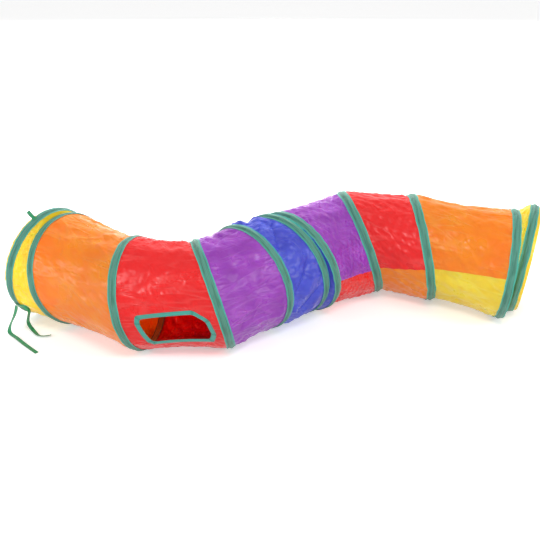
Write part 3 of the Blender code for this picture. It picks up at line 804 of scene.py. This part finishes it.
def windowPoint(along, around, lift):
    # The point of space for such a place, lifted off the fabric
    middle, turn, span = windowAxes()
    share = window["along"] + (along * math.cos(turn) - around * math.sin(turn)) / span
    angle = middle + (along * math.sin(turn) + around * math.cos(turn)) / fabric["radius"]
    point, outward, _ = clothFace(window["section"], share, angle)
    return point + outward * np.asarray(lift)[..., None]


def windowCorners(outward):
    # The eight corners of the window's edge, moved outward by a distance
    halfLength = window["length"] / 2 + outward
    halfHeight = window["height"] / 2 + outward
    corners = []
    for (along, around), (right, down) in zip(window["corners"], ((1, 1), (-1, 1), (-1, -1), (1, -1))):
        growth = outward * (along + around - math.hypot(along, around))
        upright = Vector((right * halfLength, down * (halfHeight - around - growth / along)))
        level = Vector((right * (halfLength - along - growth / around), down * halfHeight))
        corners += [upright, level] if right == down else [level, upright]
    return corners


def windowDistance(along, around):
    # How far outside the window's edge a place is, less than 0 inside it
    corners = windowCorners(0.0)
    far = np.full(np.shape(along), -1.0)
    for first, second in zip(corners, corners[1:] + corners[:1]):
        edge = (second - first).normalized()
        far = np.maximum(far, (along - first.x) * edge.y - (around - first.y) * edge.x)
    return far


wrinkle = {
    # Each kind of wave has a height, and a count, a range of lengths and a range of slants in degrees
    "swell": 0.0016,
    "swellWaves": (5, (0.032, 0.075), (0, 12)),
    "pull": 0.0013,
    "pullWaves": (6, (0.02, 0.045), (20, 62)),
    "crumple": 0.0003,
    "crumpleWaves": (9, (0.009, 0.02), (0, 90)),
    "pleat": 0.0011,
    "pleatWaves": (8, (0.008, 0.020), (0, 14)),
    "pleatReach": 0.016,
    # Creases have ranges of lengths, widths, heights and slants
    "perArea": 2200,        # short ones to a square metre
    "short": ((0.014, 0.055), (0.0013, 0.0028), (0.0005, 0.0014), (10, 72)),
    "long": (20, (0.05, 0.12), (0.003, 0.0075), (0.0013, 0.0032), (10, 62)),
    "longFolded": (34, (0.05, 0.12), (0.003, 0.0075), (0.0022, 0.0048), (10, 62)),
    "calm": 0.010,          # over which all of it dies out towards a tape
    "fan": 0.0016,
    "fanCount": 9,
    "fanReach": 0.014,
    "fanStart": 0.012,
}


def strokes(angle, along, seed, count, length, width, height, slants):
    # Creases with a sharp top and ends that run out, scattered over the cloth
    rng = np.random.default_rng(seed)
    total = np.zeros_like(angle)
    lowest, highest = float(along.min()), float(along.max())
    for _ in range(count):
        heading = math.radians(rng.uniform(*slants)) * rng.choice((-1, 1))
        half = rng.uniform(*length) / 2
        thick = rng.uniform(*width)
        tall = rng.uniform(*height) * rng.choice((1, 1, -1))
        bend = rng.uniform(-0.25, 0.25) / half
        off = (angle - rng.uniform(0, 2 * math.pi) + math.pi) % (2 * math.pi) - math.pi
        across = off * fabric["radius"]
        ahead = along - rng.uniform(lowest, highest)
        down = across * math.sin(heading) + ahead * math.cos(heading)
        aside = across * math.cos(heading) - ahead * math.sin(heading) + bend * down * down
        total += tall * np.exp(-np.abs(aside) / thick) * np.clip(1 - (down / half) ** 2, 0, 1) ** 2
    return total


def cornerPleats(along, around):
    # Pleats that fan out from each corner of the window
    total = np.zeros_like(along)
    for number, corner in enumerate(windowCorners(0.004)):
        away = np.hypot(along - corner.x, around - corner.y)
        turn = np.arctan2(around - corner.y, along - corner.x)
        fan = facets(np.sin(wrinkle["fanCount"] * turn + 1.9 * number))
        total += wrinkle["fan"] * fan * ease(away / wrinkle["fanStart"]) * np.exp(-away / wrinkle["fanReach"])
    return total


def wrinkles(number, share, angle, along, span):
    # Distance that the fabric stands off its plain shape: long swells, slanting pulls, pleats at the tapes
    reach = np.minimum(share, 1 - share) * span
    slack = 0.6 + np.clip(1 - span / fabric["fullLength"], 0, 1)
    seed = 100 * number

    def waved(name, step):
        return waves(angle, along, seed + step, *wrinkle[name + "Waves"])

    swells = wrinkle["swell"] * waved("swell", 1)
    pulls = wrinkle["pull"] * slack * facets(waved("pull", 2))
    crumple = wrinkle["crumple"] * slack * facets(waved("crumple", 3))
    pleats = wrinkle["pleat"] * np.exp(-reach / wrinkle["pleatReach"]) * waved("pleat", 4)
    count = int(wrinkle["perArea"] * 2 * math.pi * fabric["radius"] * float(along.max() - along.min()))
    sharp = strokes(angle, along, seed + 5, count, *wrinkle["short"])
    long = wrinkle["longFolded" if number == fabric["foldedSection"] else "long"]
    drawn = strokes(angle, along, seed + 6, *long)
    moved = ease(reach / wrinkle["calm"]) * (swells + pulls + crumple + pleats + sharp + drawn)
    if number == window["section"]:
        # The window's tape holds the cloth smooth, and pleats start at its edge
        place = windowPlace(share, angle - 2 * math.pi)
        distance = windowDistance(*place)
        moved = moved * ease((distance - 0.008) / 0.03) + ease((distance - 0.0065) / 0.006) * cornerPleats(*place)
    return moved


def sectionAngles(number, shares):
    # Angles of the columns, which follow the long seam where there is one, and how many columns lie above it
    count = fabric["columns"]
    if not sectionColours[number][1]:
        return np.tile(math.pi + np.arange(count) * 2 * math.pi / count, (len(shares), 1)), count
    back = math.radians(fabric["seamBack"])
    fronts = [math.radians(fabric["seamFront"][number + side]) for side in (0, 1)]
    front = fronts[0] * (1 - shares) + fronts[1] * shares + 2 * math.pi
    above = int(round(count * (fronts[0] + 2 * math.pi - back) / (2 * math.pi)))
    below = count - above
    upper = back + (front - back)[:, None] * np.arange(above)[None] / above
    lower = front[:, None] + (back + 2 * math.pi - front)[:, None] * np.arange(below)[None] / below
    return np.concatenate([upper, lower], axis=1), above


def sectionGrid(number):
    # Rows run from under one tape to under the next. Returns all that the piece needs.
    longest = float(clothFace(number, 0.5, np.linspace(0, 6.28, 90))[2].max())
    rows = max(4, int(round(longest / fabric["cell"])))
    shares = np.concatenate([[0, 0], np.linspace(0, 1, rows + 1), [1, 1]])
    angle, above = sectionAngles(number, shares)
    share = np.tile(shares[:, None], (1, angle.shape[1]))
    points, outward, span = clothFace(number, share, angle)
    along = fabric["clear"] + share * span
    points = points + outward * wrinkles(number, share, angle, share * longest, span)[..., None]
    full = np.full(angle.shape[1], fabric["radius"])
    for row, distance in enumerate((fabric["underTape"], (fabric["underTape"] + fabric["clear"]) / 2)):
        under = np.full(angle.shape[1], distance)
        points[row] = onHoop(hoops[number], angle[row], full, under)
        points[-1 - row] = onHoop(hoops[number + 1], angle[-1 - row], full, -under)
        along[row] = distance
        along[-1 - row] = 2 * fabric["clear"] + span[-1 - row] - distance
    if above < angle.shape[1]:
        # The upper fabric's edge is folded under and stands a little proud along the seam
        off = (angle[:, above:above + 1] - angle) * fabric["radius"]
        ridge = np.where(off > 0, fabric["seamLift"] * ease(1.6 - off / fabric["seamWidth"]), 0)
        points = points + outward * (ridge * ease(share * 8) * ease((1 - share) * 8))[..., None]
    points[..., 2] = np.maximum(points[..., 2], fabric["lowest"])
    uvs = np.stack([(angle - angle[:, :1]) * fabric["radius"], along], axis=-1)
    return points, uvs, share, angle, above, outward, longest


def closedRound(values, step=0.0):
    # With one more column that closes the tube, whose values are the first one's and what a turn adds
    return np.concatenate([values, values[:, :1] + np.array(step)], axis=1)


def makeSection(number):
    points, uvs, share, angle, above, outward, longest = sectionGrid(number)
    uvs = closedRound(uvs, (2 * math.pi * fabric["radius"], 0.0))
    piece = gridPiece(sheetName(number, sectionColours[number][0]), closedRound(points), uvs, False)
    share = closedRound(share)
    setValues(piece, "share", share)
    setValues(piece, "angle", closedRound(angle, 2 * math.pi))
    setValues(piece, "column", np.tile(np.arange(share.shape[1]), (share.shape[0], 1)))
    turnAway(piece, outward[0, 0])
    return piece, above, longest


def faceMeans(piece, values):
    return np.array([np.mean([values[v] for v in polygon.vertices]) for polygon in piece.data.polygons])


def selectFaces(piece, wanted):
    # Leaves the piece in edit mode with just these faces selected
    makeActive(piece)
    bpy.ops.object.mode_set(mode="EDIT")
    bpy.ops.mesh.select_mode(type="FACE")
    bpy.ops.mesh.select_all(action="DESELECT")
    shape = bmesh.from_edit_mesh(piece.data)
    shape.faces.ensure_lookup_table()
    for face, chosen in zip(shape.faces, wanted):
        face.select_set(bool(chosen))
    bmesh.update_edit_mesh(piece.data)


def cutWindow(piece):
    along, around = windowPlace(getValues(piece, "share"), getValues(piece, "angle") - 2 * math.pi)
    distance = windowDistance(faceMeans(piece, along), faceMeans(piece, around))
    selectFaces(piece, distance < window["edgeOverlap"])
    bpy.ops.mesh.delete(type="FACE")
    bpy.ops.object.mode_set(mode="OBJECT")


def splitSeam(piece, above, lowerName):
    # Parts the fabric below the long seam from that above it
    selectFaces(piece, faceMeans(piece, getValues(piece, "column")) > above)
    bpy.ops.mesh.separate(type="SELECTED")
    bpy.ops.object.mode_set(mode="OBJECT")
    lower = next(thing for thing in bpy.context.selected_objects if thing != piece)
    lower.name = lowerName
    lower.data.name = lowerName
    return lower


def bendBetween(piece, number):
    # Bakes the piece's placement into its mesh. The way between the two hoops is worked out but not used.
    first, second = hoops[number], hoops[number + 1]
    way = first["normal"] + second["normal"]
    way /= np.linalg.norm(way)
    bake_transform(piece)


def finishCloth(piece, number, colour):
    thicken(piece, fabric["thickness"], -1)
    smooth(piece)
    finishPiece(piece, None, paints[colour], ("panel_%02d_%s" % (number, colour),))
    bendBetween(piece, number)


sections = [makeSection(number) for number in range(len(sectionColours))]
print("fabric laid out")


def finishSection(number):
    piece, above, longest = sections[number]
    upper, lower = sectionColours[number]
    if number == window["section"]:
        cutWindow(piece)
    if not lower:
        editWhole(piece, bpy.ops.mesh.remove_doubles, threshold=0.00002)
        finishCloth(piece, number, upper)
        return
    part = splitSeam(piece, above, sheetName(number, lower))
    finishCloth(part, number, lower)
    finishCloth(piece, number, upper)


for number in range(len(sections)):
    finishSection(number)
print("fabric finished")


# binding folded over the window's edge

windowBinding = {
    "step": 0.003,
    # Outline of the folded tape, as the distance outside the hole's edge and the lift off the fabric
    "profile": (
        (0.0088, 0.0002), (0.0086, 0.0010), (0.0066, 0.0012), (0.0035, 0.00125), (0.0010, 0.0013),
        (-0.0005, 0.0010), (-0.0012, 0.0003), (-0.0011, -0.0008), (0.0000, -0.0015), (0.0035, -0.0017),
        (0.0066, -0.0016), (0.0086, -0.0014), (0.0088, -0.0007), (0.0060, -0.0006), (0.0022, -0.0006),
        (0.0016, -0.0003), (0.0022, 0.0001), (0.0060, 0.0001),
    ),
    "outerRows": 7,         # rows of the profile that lie on the outer side
    "topRow": 4,
    "rounding": 2,
    "cornerLift": 0.0011,
    "cornerReach": 0.003,
    "tuckShade": 0.0022,
}


def roundLoop(values, times):
    for _ in range(times):
        values = (np.roll(values, 1, axis=0) + 2 * values + np.roll(values, -1, axis=0)) / 4
    return values


def bindingRing(outward, lift, counts):
    # One row of the tape, run round the window, thicker at each corner where the tape is folded
    corners = windowCorners(outward)
    ring = []
    for count, first, second in zip(counts, corners, corners[1:] + corners[:1]):
        ring += [first + (second - first) * k / count for k in range(count)]
    flat = roundLoop(np.array([tuple(place) for place in ring]), windowBinding["rounding"])
    nearest = np.min([np.hypot(flat[:, 0] - corner.x, flat[:, 1] - corner.y) for corner in corners], axis=0)
    side = 1 if lift > 0 else -0.5
    bump = windowBinding["cornerLift"] * np.exp(-(nearest / windowBinding["cornerReach"]) ** 2) * side
    return windowPoint(flat[:, 0], flat[:, 1], lift + bump)


def makeWindowBinding():
    plain = windowCorners(0.0)
    sides = [(second - first).length for first, second in zip(plain, plain[1:] + plain[:1])]
    counts = [max(4, int(side / windowBinding["step"])) for side in sides]
    profile = windowBinding["profile"]
    points = np.array([bindingRing(outward, lift, counts) for outward, lift in profile])
    top = points[windowBinding["topRow"]]
    lengths = np.concatenate([[0], np.cumsum(np.linalg.norm(np.diff(top, axis=0), axis=1))])
    lengths = np.append(lengths, lengths[-1] + np.linalg.norm(top[0] - top[-1]))
    # One more row closes the outline on itself
    points = np.concatenate([points, points[:1]])
    outer = windowBinding["outerRows"]
    across = [outward if row < outer else -outward for row, (outward, _) in enumerate(profile)]
    piece = gridPiece("window_edge", points, gridUvs(lengths, across + across[:1]), True)
    editWhole(piece, bpy.ops.mesh.normals_make_consistent, inside=False)
    smooth(piece)
    markTuckShade(piece)
    finishPiece(piece, None, paints["windowTape"], ("window_binding",))
    bendBetween(piece, window["section"])


def markTuckShade(piece):
    # The folded tape is folded under itself along a line across it at each corner, and is painted darker there as
    # shade in that fold
    places = getPoints(piece)
    nearest = np.full(len(places), 1.0)
    for inner, outer in zip(windowCorners(0.0), windowCorners(windowBinding["profile"][0][0])):
        ends = windowPoint(np.array([inner.x, outer.x]), np.array([inner.y, outer.y]), np.array([0.001, 0.001]))
        line = (ends[1] - ends[0]) / np.linalg.norm(ends[1] - ends[0])
        off = places - ends[0]
        down = off @ line
        nearest = np.minimum(nearest, np.linalg.norm(off - down[:, None] * line, axis=1))
    setValues(piece, "tuckShade", np.exp(-((nearest / windowBinding["tuckShade"]) ** 2)))


makeWindowBinding()
print("window bound")


# tape over each hoop

hoopTape = {
    "columns": 200,
    "rows": 26,
    "half": 0.0099,
    "foot": 0.1215,         # radius at its edges
    "length": 2 * math.pi * 0.1225,
    "rise": 0.0031,         # of the wire's channel in the middle
    "steepSide": 0.42,      # where the channel ends on either side, as a share of the half width
    "slowSide": 0.78,
    "fold": 0.00045,        # thickness of its folded edges
    "foldFrom": 0.74,
    "foldRun": 0.04,
    "thickness": 0.0004,
    "wander": 0.0008,
    "pucker": 0.0006,
    "lowest": 0.0003,
    "edgeLowest": 0.0004,
}


def tapeRadius(t):
    # The wire's channel falls off steeply on one side and slowly on the other
    wide = np.where(t < 0, hoopTape["steepSide"], hoopTape["slowSide"])
    hump = np.clip(1 - (np.abs(t) / wide) ** 1.7, 0, 1) ** 1.2
    folded = np.clip((np.abs(t) - hoopTape["foldFrom"]) / hoopTape["foldRun"], 0, 1) * hoopTape["fold"]
    return hoopTape["foot"] + hoopTape["rise"] * hump + folded


def makeTape(number):
    around = np.arange(hoopTape["columns"]) * 2 * math.pi / hoopTape["columns"]
    t = np.linspace(-1, 1, hoopTape["rows"])
    angle, across = np.meshgrid(around, t)
    edge = np.abs(across)
    seed = 900 + number * 10
    wander = hoopTape["wander"] * waves(angle, np.zeros_like(angle), seed, 6, (0.02, 0.09), (0, 5))
    pucker = hoopTape["pucker"] * waves(angle, across * 0.009, seed + 1, 8, (0.006, 0.018), (0, 30))
    channel = hoopTape["pucker"] * waves(angle, across * 0.009, seed + 2, 8, (0.012, 0.04), (20, 70))
    radius = tapeRadius(across) + pucker * edge ** 2 * 0.6 + channel * (1 - edge ** 2) * 0.5
    points = onHoop(hoops[number], angle, radius, across * hoopTape["half"] + wander * edge)
    points[..., 2] = np.maximum(points[..., 2], hoopTape["lowest"] + hoopTape["edgeLowest"] * edge)
    uvs = gridUvs(np.linspace(0, hoopTape["length"], hoopTape["columns"] + 1), (t + 1) * hoopTape["half"])
    piece = gridPiece("hoop_tape_%02d" % number, points, uvs, True)
    thicken(piece, hoopTape["thickness"], -1)
    smooth(piece)
    finishPiece(piece, "hoop_%02d" % number, paints["tape"], ("tape_%02d" % number,))


for number in range(hoopCount):
    makeTape(number)
print("tapes wrapped")


# edges of the fabric, seen inside the tunnel behind each hoop, and the hems at both mouths

edging = {
    "columns": 180,
    "rows": 6,
    "half": 0.0078,
    "outer": 0.1197,
    "hollow": 0.0004,
    "thickness": 0.0005,
    "wave": 0.0003,
    "lowest": 0.0012,
    "length": 2 * math.pi * 0.12,
}
hem = {
    "rows": 8,
    "start": 0.002,
    "end": 0.0168,
    "radius": 0.1206,
    "curl": 0.003,
    "thickness": 0.0009,
    "wave": 0.0008,
    "cut": 0.758,           # length of the strip that it was cut as
}


def makeRing(name, hoop, distances, radii, seed, look):
    around = np.arange(edging["columns"]) * 2 * math.pi / edging["columns"]
    angle, distance = np.meshgrid(around, distances)
    shake = waves(angle, distance, seed, 7, (0.012, 0.05), (0, 20)) * look["wave"]
    radius = radii[:, None] + shake * np.linspace(0, 1, len(distances))[:, None]
    points = onHoop(hoop, angle, radius, distance)
    points[..., 2] = np.maximum(points[..., 2], edging["lowest"])
    uvs = gridUvs(np.linspace(0, edging["length"], edging["columns"] + 1), np.abs(distances))
    piece = gridPiece(name, points, uvs, True)
    turnAway(piece, np.array(piece.data.polygons[0].center) - hoop["middle"])
    thicken(piece, look["thickness"], -1)
    smooth(piece)
    return piece


def makeEdging(number):
    colour = sectionColours[max(number - 1, 0)][0]
    distances = np.linspace(-edging["half"], edging["half"], edging["rows"])
    radii = edging["outer"] - edging["hollow"] * np.linspace(-1, 1, edging["rows"]) ** 2
    piece = makeRing("inner_edge_%02d" % number, hoops[number], distances, radii, 700 + number, edging)
    # Its material is painted shade, a darkened copy of this section's nylon
    finishPiece(piece, "hoop_%02d" % number, paints["band_" + colour])


def makeHem(name, number, direction):
    distances = np.linspace(hem["start"], hem["end"], hem["rows"]) * direction
    radii = hem["radius"] - hem["curl"] * np.linspace(0, 1, hem["rows"]) ** 2
    piece = makeRing("hem_edge_" + name, hoops[number], distances, radii, 760 + number, hem)
    finishPiece(piece, "hoop_%02d" % number, paints["hem"], ("hem_" + name,))


for number in range(hoopCount):
    makeEdging(number)
makeHem("left", 0, -1)
makeHem("right", hoopCount - 1, 1)
print("edges and hems sewn")


# sewn-on ends of the ties

tieEnds = {
    "patchAngle": 120.0,
    "patchHalf": 0.0062,
    "patchSteps": 17,
    "stubAngle": 15.0,
    "stubHold": 0.0014,     # half of what is sewn down
    "stubReach": 0.0195,
    "stubRise": 0.0135,
    "stubSteps": 12,
    "lift": 0.0006,
    "cup": 0.0002,
}


def tieStrip(name, hoop, degrees, places, replaced):
    # Places are distances along the tunnel and radii
    angle = np.array(math.radians(degrees))
    middles = [Vector(onHoop(hoop, angle, np.array(radius), np.array(along))) for along, radius in places]
    width = Vector(spoke(hoop, angle + 0.01) - spoke(hoop, angle)).normalized()
    piece, _ = ribbonPiece(name, middles, [width] * len(middles), tieEnds["cup"], ties["thickness"])
    finishPiece(piece, "hoop_00", paints["ribbon"], (replaced,))


def makeTieEnds():
    hoop = hoops[0]
    lift = tieEnds["lift"]
    across = np.linspace(tieEnds["patchHalf"], -tieEnds["patchHalf"], tieEnds["patchSteps"])
    patch = [(along, float(tapeRadius(np.array(along / hoopTape["half"]))) + lift) for along in across]
    tieStrip("ribbon_patch", hoop, tieEnds["patchAngle"], patch, "tie_patch")
    low = hoopTape["foot"] + hoopTape["rise"] + lift
    hold = tieEnds["stubHold"]
    stub = [(hold, low), (0.0, low + 0.0001), (-hold, low)]
    for share in np.linspace(0.1, 1, tieEnds["stubSteps"]):
        along = -hold - (tieEnds["stubReach"] - hold) * share
        stub.append((along, low + tieEnds["stubRise"] * share * share))
    tieStrip("ribbon_stub", hoop, tieEnds["stubAngle"], stub, "tie_stub")


makeTieEnds()
print("tie ends sewn")


# wires of the frame keep their shape and get their steel

def dressWires():
    for name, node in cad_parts.items():
        if name.startswith("wire"):
            for place in node.material_slots:
                place.material = paints["steel"]


dressWires()
print("wires dressed")


# floor, lights and surroundings

studio = {
    "floor": (0.88, 0.88, 0.88, 1.0),
    "floorSize": 14,
    "floorGlow": 0.42,      # for the camera alone, so that the floor is near white
    "world": (1.0, 1.0, 1.0, 1.0),
    "worldStrength": 0.5,
    "lampAim": (0, 0, 0.1),
    # Each lamp's place, width, power in watts and whether it is seen in gloss
    "lamps": {
        "key": ((0.3, -1.6, 2.0), 0.7, 22.0, True),
        "left": ((-2.2, -0.9, 0.85), 0.6, 12.0, True),
        "right": ((1.9, -1.1, 1.35), 0.6, 13.0, True),
        "back": ((0.0, 1.9, 0.7), 1.4, 72.0, False),
    },
}


def seenDirectly(tree, *kinds):
    # 1 for the camera's own view and for these kinds of ray
    path = addNode(tree, "ShaderNodeLightPath").outputs
    seen = path["Is Camera Ray"]
    for kind in kinds:
        seen = mathNode(tree, "MAXIMUM", seen, path[kind])
    return seen


def makeFloor():
    deselectAll()
    bpy.ops.mesh.primitive_plane_add(size=studio["floorSize"])
    floor = bpy.context.object
    floor.name = "studio_floor"
    material, tree, shader = newMaterial("studio_floor", 0.9)
    shader["Base Color"].default_value = studio["floor"]
    shader["Emission Color"].default_value = (1, 1, 1, 1)
    seen = seenDirectly(tree, "Is Glossy Ray", "Is Transmission Ray")
    tree.links.new(mathNode(tree, "MULTIPLY", seen, studio["floorGlow"]), shader["Emission Strength"])
    floor.data.materials.append(material)


def makeLamp(name, place, size, power, glossy):
    data = bpy.data.lights.new(name, "AREA")
    data.shape = "DISK"
    data.size = size
    data.energy = power
    lamp = bpy.data.objects.new(name, data)
    bpy.context.scene.collection.objects.link(lamp)
    lamp.location = place
    lamp.visible_glossy = glossy
    lamp.rotation_euler = (Vector(studio["lampAim"]) - Vector(place)).to_track_quat("-Z", "Y").to_euler()


def makeWorld():
    world = bpy.data.worlds.new("studio")
    world.use_nodes = True
    bpy.context.scene.world = world
    tree = world.node_tree
    background = tree.nodes["Background"].inputs
    background["Color"].default_value = studio["world"]
    dim = studio["worldStrength"]
    strength = mathNode(tree, "MULTIPLY_ADD", seenDirectly(tree, "Is Glossy Ray"), 1.0 - dim, dim)
    tree.links.new(strength, background["Strength"])
    bpy.context.scene.view_settings.view_transform = "Standard"


makeFloor()
for name, lamp in studio["lamps"].items():
    makeLamp(name, *lamp)
makeWorld()
print("studio lit")
